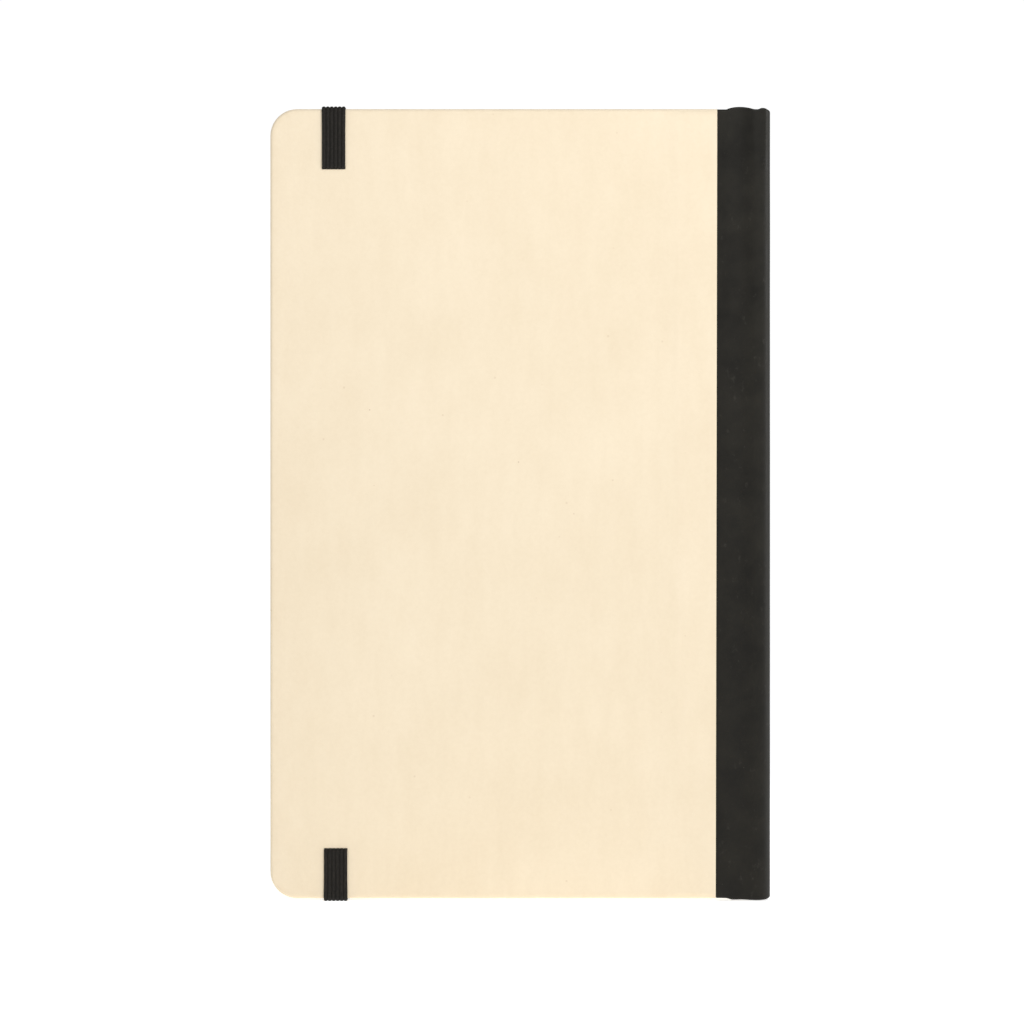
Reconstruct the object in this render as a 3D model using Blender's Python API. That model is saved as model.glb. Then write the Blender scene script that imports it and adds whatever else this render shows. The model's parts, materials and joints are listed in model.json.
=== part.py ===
"""Pocket notebook, quarter bound in cloth, with an elastic closure and a pocket.

It stands on its tail: +Z runs to the head, +X to the spine and +Y to the front cover, so
the back cover faces -Y. The origin lies on the ground under the middle of the book.
"""

import math

import bmesh
import bpy
from mathutils import Vector

# Driving dimensions of the closed book, in metres
COVER_WIDTH = 0.0900
COVER_HEIGHT = 0.1420
BOOK_THICKNESS = 0.0152
COVER_CORNER_RADIUS = 0.0048
ELASTIC_WIDTH = 0.0043
ELASTIC_THICKNESS = 0.00045
ELASTIC_FROM_FORE_EDGE = 0.0116
HEAD_SLIT_FROM_EDGE = 0.0107
TAIL_SLIT_FROM_EDGE = 0.0089
TAPE_SHOWING = 0.0096
TAPE_UNDER_PAPER = 0.0077
SPINE_EDGE_RADIUS = 0.0025

# Layers of a cover, from the outside in, and the glue line between them
GLUE = 0.00004
PAPER = 0.00018
TAPE = 0.00020
BOARD = 0.00150
PASTEDOWN = 0.00014
PAPER_TURN_IN = 0.0080
TAPE_TURN_IN = 0.0070

# The text block
SECTION_COUNT = 12
MOVING_SECTIONS = 4
SECTION_THICKNESS = 0.00063
SECTION_GAP = 0.00005
FLYLEAF = 0.00014
BLOCK_SQUARE = 0.0020
FORE_EDGE_SQUARE = 0.0025
PAGE_CORNER_RADIUS = 0.0040
FOLD_EDGE = 0.0432
FIRST_BEND = 0.0412
BEND_STEP = 0.0010
BEND_CLEARANCE = 0.0003

# The spine
THREAD_DIAMETER = 0.00040
THREAD_STATIONS = 4
LINING = 0.00016
SPINE_STRIP = 0.00055
SPINE_STRIP_HALF_WIDTH = 0.0046
SPINE_TAPE = 0.00025
BAND_DIAMETER = 0.0014

# The pocket inside the back cover
POCKET_PANEL = 0.00050
POCKET_GUSSET = 0.00038
POCKET_MARGIN = 0.0035
POCKET_MOUTH = 0.0350
POCKET_FOLD_EDGE = -0.0415
GUSSET_WIDTH = 0.0075

ARC_STEPS = 5

# Places that follow from the dimensions
FORE_EDGE = -COVER_WIDTH / 2
SPINE_FACE = COVER_WIDTH / 2
TAIL = ELASTIC_THICKNESS + GLUE
HEAD = TAIL + COVER_HEIGHT
OUTER_FACE = BOOK_THICKNESS / 2
PAPER_END = SPINE_FACE - TAPE_SHOWING
TAPE_START = PAPER_END - TAPE_UNDER_PAPER
BOARD_END = 0.0371
HINGE_X = 0.0412

TAPE_DEPTH = PAPER + GLUE
BOARD_DEPTH = TAPE_DEPTH + TAPE + GLUE
TAPE_IN_DEPTH = BOARD_DEPTH + BOARD + GLUE
PAPER_IN_DEPTH = TAPE_IN_DEPTH + TAPE + GLUE
PASTEDOWN_DEPTH = PAPER_IN_DEPTH + PAPER + GLUE
COVER_THICKNESS = PASTEDOWN_DEPTH + PASTEDOWN
INNER_FACE = OUTER_FACE - COVER_THICKNESS
HINGE_Y = OUTER_FACE - COVER_THICKNESS / 2

FRONT_FLYLEAF_TOP = INNER_FACE - 0.00018
FIRST_SECTION_TOP = FRONT_FLYLEAF_TOP - FLYLEAF - 0.00006
SECTION_PITCH = SECTION_THICKNESS + SECTION_GAP
BLOCK_BOTTOM = FIRST_SECTION_TOP - SECTION_COUNT * SECTION_PITCH + SECTION_GAP
BACK_FLYLEAF_TOP = BLOCK_BOTTOM - 0.00006
PAGE_TAIL = TAIL + BLOCK_SQUARE
PAGE_HEAD = HEAD - BLOCK_SQUARE
PAGE_EDGE = FORE_EDGE + FORE_EDGE_SQUARE
ELASTIC_X = FORE_EDGE + ELASTIC_FROM_FORE_EDGE
HEAD_SLIT = HEAD - HEAD_SLIT_FROM_EDGE
TAIL_SLIT = TAIL + TAIL_SLIT_FROM_EDGE
ELASTIC_LINE = OUTER_FACE + GLUE + ELASTIC_THICKNESS / 2


def clear_scene():
    for old in list(bpy.data.objects):
        bpy.data.objects.remove(old, do_unlink=True)


def material(name, colour, roughness, metallic=0.0):
    made = bpy.data.materials.new(name)
    made.use_nodes = True
    shader = made.node_tree.nodes["Principled BSDF"]
    shader.inputs["Base Color"].default_value = (*colour, 1.0)
    shader.inputs["Roughness"].default_value = roughness
    shader.inputs["Metallic"].default_value = metallic
    return made


def hinge_line(name, x, y):
    """An empty on a joint's axis, which runs along Z. The pieces that turn are its children."""
    line = bpy.data.objects.new(name, None)
    line.location = (x, y, 0.0)
    line.empty_display_size = 0.01
    bpy.context.scene.collection.objects.link(line)
    return line


def place(axis, along, a, b):
    """The point with this value along axis, and a and b along the other two in X, Y, Z order."""
    if axis == "X":
        return Vector((along, a, b))
    if axis == "Y":
        return Vector((a, along, b))
    return Vector((a, b, along))


def add_object(name, shape, finish, parent=None):
    """The object of a mesh made in world space. A parent empty leaves it where it is."""
    bmesh.ops.recalc_face_normals(shape, faces=shape.faces)
    mesh = bpy.data.meshes.new(name)
    shape.to_mesh(mesh)
    shape.free()
    made = bpy.data.objects.new(name, mesh)
    bpy.context.scene.collection.objects.link(made)
    if finish:
        mesh.materials.append(finish)
    if parent:
        made.parent = parent
        made.location = -parent.location
    return made


def prism_mesh(outline, axis, low, high):
    """A solid with this outline, in the two other axes, from low to high along axis."""
    shape = bmesh.new()
    corners = [shape.verts.new(place(axis, low, a, b)) for a, b in outline]
    base = shape.faces.new(corners)
    grown = bmesh.ops.extrude_face_region(shape, geom=[base])["geom"]
    far = [item for item in grown if isinstance(item, bmesh.types.BMVert)]
    bmesh.ops.translate(shape, verts=far, vec=place(axis, high - low, 0.0, 0.0))
    return shape


def prism(name, outline, axis, low, high, finish, parent=None):
    return add_object(name, prism_mesh(outline, axis, low, high), finish, parent)


def smooth(piece, angle=math.radians(35)):
    piece.data.shade_smooth()
    piece.data.set_sharp_from_angle(angle=angle)


def arc(centre, radius, start, end, steps):
    """Points on an arc, its angles in degrees."""
    angles = [math.radians(start + (end - start) * i / steps) for i in range(steps + 1)]
    return [
        (centre[0] + radius * math.cos(turn), centre[1] + radius * math.sin(turn))
        for turn in angles
    ]


def sheet_outline(left, right, bottom, top, radius):
    """A sheet in X and Z with both corners at the fore edge rounded."""
    outline = [(right, bottom), (right, top)]
    outline += arc((left + radius, top - radius), radius, 90, 180, ARC_STEPS)
    outline += arc((left + radius, bottom + radius), radius, 180, 270, ARC_STEPS)
    return outline


def rounded_path(points, radius):
    """An open path with each inner corner replaced by an arc."""
    path = [points[0]]
    for before, corner, after in zip(points, points[1:], points[2:]):
        corner = Vector(corner)
        into = (Vector(before) - corner).normalized()
        out = (Vector(after) - corner).normalized()
        half = into.angle(out) / 2
        centre = corner + (into + out).normalized() * (radius / math.sin(half))
        start = corner + into * (radius / math.tan(half)) - centre
        swept = start.angle_signed(corner + out * (radius / math.tan(half)) - centre)
        for step in range(ARC_STEPS + 1):
            turn = -swept * step / ARC_STEPS
            x = start.x * math.cos(turn) - start.y * math.sin(turn)
            y = start.x * math.sin(turn) + start.y * math.cos(turn)
            path.append((centre.x + x, centre.y + y))
    path.append(points[-1])
    return path


def strip_outline(path, thickness):
    """The closed outline of a strip of this thickness that follows path."""
    points = [Vector(p) for p in path]
    sides = [[], []]
    for index, point in enumerate(points):
        ahead = points[min(index + 1, len(points) - 1)]
        behind = points[max(index - 1, 0)]
        first = (point - behind).normalized() if index else (ahead - point).normalized()
        second = (ahead - point).normalized() if index < len(points) - 1 else first
        normal = Vector((-(first.y + second.y), first.x + second.x)).normalized()
        reach = thickness / 2 / max(normal.dot(Vector((-first.y, first.x))), 0.5)
        sides[0].append(tuple(point + normal * reach))
        sides[1].append(tuple(point - normal * reach))
    return sides[0] + sides[1][::-1]


def cut(target, outline, axis, low, high, label):
    """Cuts a prism out of target. The cutter stays in the scene as a hidden guide."""
    cutter = prism(f"{target.name}_{label}_cutter", outline, axis, low, high, None)
    cutter.parent = target.parent
    if target.parent:
        cutter.location = -target.parent.location
    cutter.hide_render = True
    cutter.display_type = "WIRE"
    boolean = target.modifiers.new(label, "BOOLEAN")
    boolean.operation = "DIFFERENCE"
    boolean.solver = "EXACT"
    boolean.object = cutter


def rectangle(left, right, bottom, top):
    return [(left, bottom), (right, bottom), (right, top), (left, top)]


def cover_span(side, shallow, deep):
    """The Y range of a cover's layer, given by its depths under the outer face."""
    return sorted((side * (OUTER_FACE - shallow), side * (OUTER_FACE - deep)))


def make_cover_paper(name, side, finish, hinge):
    """The paper on a board's outside, wrapped over three edges and turned in."""
    low, high = cover_span(side, 0.0, PASTEDOWN_DEPTH - GLUE)
    outer = sheet_outline(FORE_EDGE, PAPER_END, TAIL, HEAD, COVER_CORNER_RADIUS)
    paper = prism(name, outer, "Y", low, high, finish, hinge)
    beyond = PAPER_END + 0.002
    inside = sheet_outline(
        FORE_EDGE + PAPER,
        beyond,
        TAIL + PAPER,
        HEAD - PAPER,
        COVER_CORNER_RADIUS - PAPER,
    )
    low, high = cover_span(side, PAPER, PAPER_IN_DEPTH)
    cut(paper, inside, "Y", low, high, "inside")
    window = rectangle(
        FORE_EDGE + PAPER_TURN_IN, beyond, TAIL + PAPER_TURN_IN, HEAD - PAPER_TURN_IN
    )
    low, high = cover_span(side, PAPER_IN_DEPTH - GLUE, COVER_THICKNESS + 0.001)
    cut(paper, window, "Y", low, high, "window")
    return paper


def make_board(name, side, finish, hinge):
    low, high = cover_span(side, BOARD_DEPTH, BOARD_DEPTH + BOARD)
    outline = sheet_outline(
        FORE_EDGE + BOARD_DEPTH,
        BOARD_END,
        TAIL + BOARD_DEPTH,
        HEAD - BOARD_DEPTH,
        COVER_CORNER_RADIUS - BOARD_DEPTH,
    )
    return prism(name, outline, "Y", low, high, finish, hinge)


def make_tape_on_board(name, side, finish, hinge):
    """The spine cloth's margin on a board, turned in at the head and the tail."""
    middle = TAPE_DEPTH + TAPE / 2
    outside = side * (OUTER_FACE - middle)
    inside = side * (OUTER_FACE - TAPE_IN_DEPTH - TAPE / 2)
    path = rounded_path(
        [
            (inside, HEAD - TAPE_TURN_IN),
            (inside, HEAD - middle),
            (outside, HEAD - middle),
            (outside, TAIL + middle),
            (inside, TAIL + middle),
            (inside, TAIL + TAPE_TURN_IN),
        ],
        TAPE,
    )
    outline = strip_outline(path, TAPE)
    return prism(name, outline, "X", TAPE_START, BOARD_END, finish, hinge)


def make_joint_cloth(name, side, finish):
    """The cloth between a board and the spine. It dips into the joint and flexes there."""
    start = BOARD_END + 0.0004
    end = SPINE_FACE - SPINE_EDGE_RADIUS - 0.0004
    dip = 0.00045
    steps = 8
    path = []
    for step in range(steps + 1):
        share = step / steps
        depth = TAPE_DEPTH + TAPE / 2 + dip * math.sin(math.pi * share) ** 2
        path.append((start + (end - start) * share, side * (OUTER_FACE - depth)))
    cloth = prism(name, strip_outline(path, TAPE), "Z", TAIL, HEAD, finish)
    smooth(cloth)


def make_cover(word, side, finishes, hinge):
    make_cover_paper(f"{word}_cover_paper", side, finishes["cream paper"], hinge)
    make_board(f"{word}_board", side, finishes["greyboard"], hinge)
    make_tape_on_board(f"tape_on_{word}_board", side, finishes["black cloth"], hinge)
    make_joint_cloth(f"{word}_joint_cloth", side, finishes["black cloth"])
    low, high = cover_span(side, PASTEDOWN_DEPTH, COVER_THICKNESS)
    outline = sheet_outline(PAGE_EDGE, BOARD_END, PAGE_TAIL, PAGE_HEAD, PAGE_CORNER_RADIUS)
    prism(f"{word}_pastedown", outline, "Y", low, high, finishes["ivory paper"], hinge)


def make_spine(finishes):
    edge = SPINE_FACE - SPINE_TAPE / 2
    side = OUTER_FACE - TAPE_DEPTH - SPINE_TAPE / 2
    start = SPINE_FACE - SPINE_EDGE_RADIUS - 0.0001
    path = rounded_path(
        [(start, side), (edge, side), (edge, -side), (start, -side)],
        SPINE_EDGE_RADIUS - SPINE_TAPE / 2,
    )
    outline = strip_outline(path, SPINE_TAPE)
    tape = prism("tape_on_spine", outline, "Z", TAIL, HEAD, finishes["black cloth"])
    smooth(tape)
    outer = SPINE_FACE - SPINE_TAPE - 2 * GLUE
    half = SPINE_STRIP_HALF_WIDTH
    strip = rectangle(outer - SPINE_STRIP, outer, -half, half)
    low = TAIL + BOARD_DEPTH
    high = HEAD - BOARD_DEPTH
    prism("spine_strip", strip, "Z", low, high, finishes["greyboard"])


def make_spine_linings(finishes):
    """Gauze over the sewn folds, then a strip of brown paper."""
    inner = FOLD_EDGE + THREAD_DIAMETER + 2 * GLUE
    for name, finish, inset in (
        ("spine_mull", "mull", 0.006),
        ("spine_liner", "brown paper", 0.004),
    ):
        outline = rectangle(inner, inner + LINING, BLOCK_BOTTOM, FIRST_SECTION_TOP)
        low = PAGE_TAIL + inset
        prism(name, outline, "Z", low, PAGE_HEAD - inset, finishes[finish])
        inner += LINING + GLUE


def make_bands(finish):
    """A woven bead over each end of the sewn folds."""
    radius = BAND_DIAMETER / 2
    for name, height in (
        ("tail_band", PAGE_TAIL - radius - GLUE),
        ("head_band", PAGE_HEAD + radius + GLUE),
    ):
        centre = (FOLD_EDGE - radius, height)
        outline = arc(centre, radius, 0, 360, 12)[:-1]
        low = BLOCK_BOTTOM
        smooth(prism(name, outline, "Y", low, FIRST_SECTION_TOP, finish))


def make_threads(finish):
    """The thread that links the sections at each sewing station, a tube over their folds."""
    usable = PAGE_HEAD - PAGE_TAIL
    sides = 6
    for station in range(THREAD_STATIONS):
        height = PAGE_TAIL + usable * (station + 1) / (THREAD_STATIONS + 1)
        shape = bmesh.new()
        rings = []
        for section in range(2 * SECTION_COUNT - 1):
            y = FIRST_SECTION_TOP - SECTION_THICKNESS / 2 - section * SECTION_PITCH / 2
            swell = 0.9 if section % 2 else 0.72
            centre = Vector((FOLD_EDGE + THREAD_DIAMETER / 2 + GLUE, y, height))
            ring = []
            for side in range(sides):
                turn = 2 * math.pi * side / sides
                out = Vector((math.cos(turn), 0.0, math.sin(turn)))
                ring.append(shape.verts.new(centre + out * swell * THREAD_DIAMETER / 2))
            rings.append(ring)
        for first, second in zip(rings, rings[1:]):
            for side in range(sides):
                other = (side + 1) % sides
                shape.faces.new((first[side], first[other], second[other], second[side]))
        shape.faces.new(rings[0])
        shape.faces.new(rings[-1])
        smooth(add_object(f"sewing_thread_{station + 1}", shape, finish))


def round_the_fold(shape, radius):
    """Rounds the two long edges of a section at its fold."""
    folds = [
        edge
        for edge in shape.edges
        if all(abs(vert.co.x - FOLD_EDGE) < GLUE for vert in edge.verts)
        and abs(edge.verts[0].co.y - edge.verts[1].co.y) < GLUE
    ]
    bmesh.ops.bevel(
        shape, geom=folds, offset=radius, segments=3, profile=0.5, affect="EDGES"
    )


def fold_strip(name, left, low, high, finish):
    outline = rectangle(left, FOLD_EDGE, PAGE_TAIL, PAGE_HEAD)
    shape = prism_mesh(outline, "Y", low, high)
    if high - low > 2 * FLYLEAF:
        round_the_fold(shape, 0.45 * (high - low))
    add_object(name, shape, finish)


def make_hinged_sheet(name, stub_name, bend_x, low, high, finish):
    """Leaves that turn at bend_x, and the strip that stays in the sewn fold."""
    hinge = hinge_line(f"{name}_bend", bend_x, (low + high) / 2)
    outline = sheet_outline(
        PAGE_EDGE, bend_x - BEND_CLEARANCE, PAGE_TAIL, PAGE_HEAD, PAGE_CORNER_RADIUS
    )
    prism(name, outline, "Y", low, high, finish, hinge)
    fold_strip(stub_name, bend_x + BEND_CLEARANCE, low, high, finish)


def make_text_block(finish):
    top = FRONT_FLYLEAF_TOP
    make_hinged_sheet(
        "front_flyleaf", "front_flyleaf_fold", FIRST_BEND, top - FLYLEAF, top, finish
    )
    for index in range(SECTION_COUNT):
        high = FIRST_SECTION_TOP - index * SECTION_PITCH
        low = high - SECTION_THICKNESS
        name = f"section_{index + 1:02d}"
        if index < MOVING_SECTIONS:
            bend = FIRST_BEND - (index + 1) * BEND_STEP
            make_hinged_sheet(f"{name}_leaves", f"{name}_fold", bend, low, high, finish)
            continue
        outline = sheet_outline(
            PAGE_EDGE, FOLD_EDGE, PAGE_TAIL, PAGE_HEAD, PAGE_CORNER_RADIUS
        )
        shape = prism_mesh(outline, "Y", low, high)
        round_the_fold(shape, 0.45 * SECTION_THICKNESS)
        add_object(name, shape, finish)
    top = BACK_FLYLEAF_TOP
    make_hinged_sheet(
        "back_flyleaf", "back_flyleaf_fold", FIRST_BEND, top - FLYLEAF, top, finish
    )


def make_pocket(finishes, cover_hinge):
    """A card panel on the back pastedown, hinged at the fore edge, with folded gussets."""
    base = -INNER_FACE + GLUE
    panel_low = base + POCKET_GUSSET + 2 * GLUE
    low = PAGE_TAIL - BLOCK_SQUARE + POCKET_MARGIN
    high = PAGE_HEAD + BLOCK_SQUARE - POCKET_MARGIN
    hinge = hinge_line("pocket_bend", POCKET_FOLD_EDGE + 0.0005, panel_low)
    outline = sheet_outline(POCKET_FOLD_EDGE, POCKET_MOUTH, low, high, PAGE_CORNER_RADIUS)
    panel = prism(
        "pocket_panel",
        outline,
        "Y",
        panel_low,
        panel_low + POCKET_PANEL,
        finishes["ivory paper"],
        hinge,
    )
    thumb = arc((POCKET_MOUTH + 0.004, (low + high) / 2), 0.013, 90, 270, 10)
    cut(panel, thumb, "Y", panel_low - 0.001, panel_low + 0.002, "thumb")
    cloth = finishes["black cloth"]
    left = POCKET_FOLD_EDGE + 0.0045
    right = POCKET_MOUTH - 0.0010
    strip = rectangle(POCKET_FOLD_EDGE, left - 0.0005, low + 0.004, high - 0.004)
    top = base + POCKET_GUSSET
    prism("pocket_edge_strip", strip, "Y", base, top, cloth, cover_hinge)
    for name, start in (
        ("pocket_gusset_tail", low + 0.0005),
        ("pocket_gusset_head", high - 0.0005 - GUSSET_WIDTH),
    ):
        gusset = rectangle(left, right, start, start + GUSSET_WIDTH)
        prism(name, gusset, "Y", base, top, cloth, cover_hinge)


def make_elastic_end(name, slit, edge, finish, hinge):
    """A band end: glued under the pastedown, out through the slit and on to the edge."""
    toward = 1.0 if edge > slit else -1.0
    inside = -(OUTER_FACE - TAPE_IN_DEPTH - ELASTIC_THICKNESS / 2 + GLUE)
    path = rounded_path(
        [
            (inside, slit - toward * 0.013),
            (inside, slit),
            (-ELASTIC_LINE, slit),
            (-ELASTIC_LINE, edge - toward * 0.0016),
        ],
        0.0003,
    )
    outline = strip_outline(path, 0.9 * ELASTIC_THICKNESS)
    half = ELASTIC_WIDTH / 2
    prism(name, outline, "X", ELASTIC_X - half, ELASTIC_X + half, finish, hinge)


def cut_elastic_slits(names, slit):
    """The slot that a band end passes through, in the board and in its paper."""
    half = ELASTIC_WIDTH / 2 + 0.0002
    tall = ELASTIC_THICKNESS / 2 + 0.00012
    outline = rectangle(ELASTIC_X - half, ELASTIC_X + half, slit - tall, slit + tall)
    for name in names:
        label = "head_slit" if slit == HEAD_SLIT else "tail_slit"
        target = bpy.data.objects[name]
        cut(target, outline, "Y", -OUTER_FACE - 0.001, -INNER_FACE - 0.0003, label)


def make_elastic(finish, back_hinge):
    for name, slit, edge in (
        ("elastic_end_head", HEAD_SLIT, HEAD),
        ("elastic_end_tail", TAIL_SLIT, TAIL),
    ):
        make_elastic_end(name, slit, edge, finish, back_hinge)
        cut_elastic_slits(("back_cover_paper", "back_board"), slit)
    release = hinge_line("elastic_release_line", ELASTIC_X, -ELASTIC_LINE)
    over = ELASTIC_THICKNESS / 2 + GLUE
    path = rounded_path(
        [
            (-ELASTIC_LINE, HEAD - 0.0012),
            (-ELASTIC_LINE, HEAD + over),
            (ELASTIC_LINE, HEAD + over),
            (ELASTIC_LINE, TAIL - over),
            (-ELASTIC_LINE, TAIL - over),
            (-ELASTIC_LINE, TAIL + 0.0012),
        ],
        ELASTIC_THICKNESS / 2 + GLUE,
    )
    outline = strip_outline(path, ELASTIC_THICKNESS)
    half = ELASTIC_WIDTH / 2
    low = ELASTIC_X - half
    prism("elastic_loop", outline, "X", low, ELASTIC_X + half, finish, release)


def main():
    clear_scene()
    finishes = {
        "cream paper": material("cream paper", (0.91, 0.79, 0.60), 0.80),
        "black cloth": material("black cloth", (0.022, 0.021, 0.019), 0.55),
        "greyboard": material("greyboard", (0.30, 0.28, 0.25), 0.90),
        "ivory paper": material("ivory paper", (0.86, 0.80, 0.66), 0.75),
        "brown paper": material("brown paper", (0.42, 0.29, 0.17), 0.85),
        "mull": material("mull", (0.70, 0.66, 0.57), 0.95),
        "thread": material("thread", (0.80, 0.77, 0.70), 0.80),
        "elastic": material("elastic", (0.012, 0.012, 0.013), 0.70),
    }
    front_hinge = hinge_line("front_cover_hinge_line", HINGE_X, HINGE_Y)
    back_hinge = hinge_line("back_cover_hinge_line", HINGE_X, -HINGE_Y)
    make_cover("front", 1, finishes, front_hinge)
    make_cover("back", -1, finishes, back_hinge)
    make_spine(finishes)
    make_spine_linings(finishes)
    make_bands(finishes["black cloth"])
    make_threads(finishes["thread"])
    make_text_block(finishes["ivory paper"])
    make_pocket(finishes, back_hinge)
    make_elastic(finishes["elastic"], back_hinge)


main()
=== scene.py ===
"""The looks of the pocket notebook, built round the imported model.

The book stands on its tail: +Z runs to the head, +X to the spine and +Y to the front cover,
so the back cover faces the camera. Lengths are in metres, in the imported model's frame.
"""

import json
import math
import random

import bmesh
import bpy
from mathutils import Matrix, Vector, noise


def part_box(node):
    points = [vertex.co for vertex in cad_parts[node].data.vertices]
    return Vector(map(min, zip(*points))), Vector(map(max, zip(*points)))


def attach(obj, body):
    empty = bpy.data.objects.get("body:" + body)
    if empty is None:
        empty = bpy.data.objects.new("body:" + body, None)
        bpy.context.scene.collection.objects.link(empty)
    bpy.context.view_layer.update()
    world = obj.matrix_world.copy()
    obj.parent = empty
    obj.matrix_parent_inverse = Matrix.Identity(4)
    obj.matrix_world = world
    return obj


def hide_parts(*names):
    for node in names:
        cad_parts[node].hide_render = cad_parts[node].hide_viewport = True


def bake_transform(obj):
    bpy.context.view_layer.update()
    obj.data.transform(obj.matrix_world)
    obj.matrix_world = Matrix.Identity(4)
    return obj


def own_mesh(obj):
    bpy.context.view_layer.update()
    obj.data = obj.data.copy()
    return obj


MM = 0.001

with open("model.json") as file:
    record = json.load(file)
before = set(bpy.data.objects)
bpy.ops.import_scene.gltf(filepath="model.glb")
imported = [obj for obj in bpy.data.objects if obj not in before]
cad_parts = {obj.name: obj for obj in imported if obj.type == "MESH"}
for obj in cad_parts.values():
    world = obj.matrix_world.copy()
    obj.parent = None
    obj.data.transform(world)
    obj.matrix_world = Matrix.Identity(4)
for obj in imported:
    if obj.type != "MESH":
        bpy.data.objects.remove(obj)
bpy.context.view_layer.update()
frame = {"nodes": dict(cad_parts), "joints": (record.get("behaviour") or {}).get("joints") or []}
nodes = frame["nodes"]
hinges = {joint["name"]: joint for joint in frame["joints"]}
picks = random.Random(7)

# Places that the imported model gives
paper_low, paper_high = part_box("back_cover_paper")
FORE_EDGE = paper_low.x
PAPER_END = paper_high.x
OUTER_FACE = -paper_low.y
TAIL = paper_low.z
HEAD = paper_high.z
PAPER_INNER_DEPTH = OUTER_FACE + paper_high.y
BOARD_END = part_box("back_board")[1].x
PASTEDOWN_FACE = -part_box("back_pastedown")[1].y
HIDDEN_CLOTH_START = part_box("tape_on_back_board")[0].x
SPINE_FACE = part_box("tape_on_spine")[1].x
CLOTH_DEPTH = OUTER_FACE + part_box("tape_on_back_board")[0].y
CLOTH_INNER_DEPTH = OUTER_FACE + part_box("tape_on_back_board")[1].y
leaf_low, leaf_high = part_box("section_05")
PAGE_EDGE = leaf_low.x
FOLD_EDGE = leaf_high.x
PAGE_TAIL = leaf_low.z
PAGE_HEAD = leaf_high.z
SECTION_COUNT = 12
MOVING_SECTIONS = 4
ELASTIC_X = hinges["elastic_release"]["pos_m"][0]
ELASTIC_Y = hinges["elastic_release"]["pos_m"][1]

# The covers and their cloth
COVER_CORNER = 4.8 * MM
PAPER = 0.18 * MM
PAPER_TURN_IN = 8.0 * MM
OUTER_ROUND = 0.55 * MM
INNER_ROUND = 0.45 * MM
CORNER_STEPS = 10
PAPER_END_SLIPS = (0.29 * MM, 0.02 * MM)  # at the tail and at the head
RIDGE_HEIGHT = 0.09 * MM
SLIT_ROOM = 0.06 * MM
CLOTH = 0.18 * MM
CLOTH_START = 33.5 * MM
CLOTH_TURN_IN = 5.8 * MM
CLOTH_COMES_OUT = (PAPER_END - 0.5 * MM, PAPER_END - 0.05 * MM)  # from under the cover paper
CLOTH_IN_JOINT = 0.46 * MM  # how deep the turned-in cloth lies in the joints
CLOTH_BEHIND_STRIP = 1.10 * MM
HEAD_ARCH = 0.43 * MM
HEAD_BUMP = 0.30 * MM
TAIL_SAG = (0.26 * MM, 0.07 * MM)
CREASE = (0.03 * MM, 0.22 * MM)  # everywhere, and the rest of it near the head
JOINT_DIP = 0.30 * MM
JOINT_STEPS = 14
SPINE_ROUND = 2.5 * MM
SPINE_STEPS = 16

# The pages, and what is inside the spine and the pocket
PAGE_CORNER = 4.0 * MM
LEAVES_IN_SECTION = 8
LEAF = 0.068 * MM
ENDPAPER = 0.14 * MM
LINE_PITCH = 6.0 * MM
LINE_SHARE = 0.03  # of the pitch
LINES_START = PAGE_TAIL + 8.0 * MM
LINES_END = PAGE_HEAD - 15.0 * MM
THUMB_NOTCH = 13.0 * MM
END_BAND_TURN = 0.32 * MM  # the pitch of the thread round a head or tail band
BEND_REACH = (1.8 * MM, 2.2 * MM)  # either side of a bend line, to the spine and to the fore edge

# The elastic band
HEAD_SLIT = HEAD - 10.6 * MM
TAIL_SLIT = TAIL + 8.8 * MM
BAND_WIDTH = 4.2 * MM
BAND_THICKNESS = 0.45 * MM
BAND_RIBS = 6
RIB_STEPS = 6
RIB_VALLEY = 0.20  # the share of the thickness that is left between two ribs
ENDS_MEET_LOOP = 1.2 * MM  # below the head and above the tail

# The studio
CAMERA_PLACE = (-1.53 * MM, -1030.8 * MM, 70.0 * MM)
SKY_LIGHT = 0.40
SKY_SEEN = 1.02
FLOOR_GLOW = 0.66
KEY_POWER = 1.19
KEY_SIZE = 0.22
KEY_PLACE = (0.16, -0.33, 0.43)
SIDE_POWER = 1.7
SIDE_SIZE = 0.30
SIDE_PLACE = (0.75, 0.06, 0.24)

# Colours, each a dark and a light shade of one material
CREAM_SHADES = ((0.785, 0.665, 0.486), (0.865, 0.752, 0.576))
CLOTH_SHADES = ((0.0070, 0.0061, 0.0041), (0.0146, 0.0130, 0.0091))
IVORY_SHADES = ((0.85, 0.785, 0.64), (0.90, 0.845, 0.715))
ELASTIC_SHADES = ((0.0052, 0.0044, 0.0034), (0.0265, 0.0225, 0.0175))
BOARD_SHADES = ((0.20, 0.185, 0.165), (0.42, 0.40, 0.36))
BROWN_SHADES = ((0.34, 0.22, 0.12), (0.50, 0.36, 0.22))
GAUZE_SHADES = ((0.42, 0.36, 0.26), (0.74, 0.71, 0.63))
THREAD_SHADES = ((0.66, 0.62, 0.54), (0.84, 0.81, 0.74))

# Marks on the materials
FLECK = (0.42, 0.27, 0.14)
STAIN = (0.50, 0.34, 0.19)
PALE_FLECK = (0.97, 0.90, 0.76)
RUBBED_CREAM = (0.74, 0.61, 0.43)
SCUFF = (0.060, 0.056, 0.047)
DUST = (0.075, 0.070, 0.060)
IVORY_FIBRE = (0.76, 0.69, 0.55)
RULED_LINE = (0.36, 0.38, 0.40)
BOARD_CHIP = (0.60, 0.56, 0.48)


# Small helpers


def smoothstep(value, start, end):
    share = min(max((value - start) / (end - start), 0.0), 1.0)
    return share * share * (3 - 2 * share)


def bell(value, start, end):
    """A smooth hump of height 1 between start and end."""
    share = min(max((value - start) / (end - start), 0.0), 1.0)
    return math.sin(math.pi * share) ** 0.8


def between(start, end, share):
    return start + (end - start) * share


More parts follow.
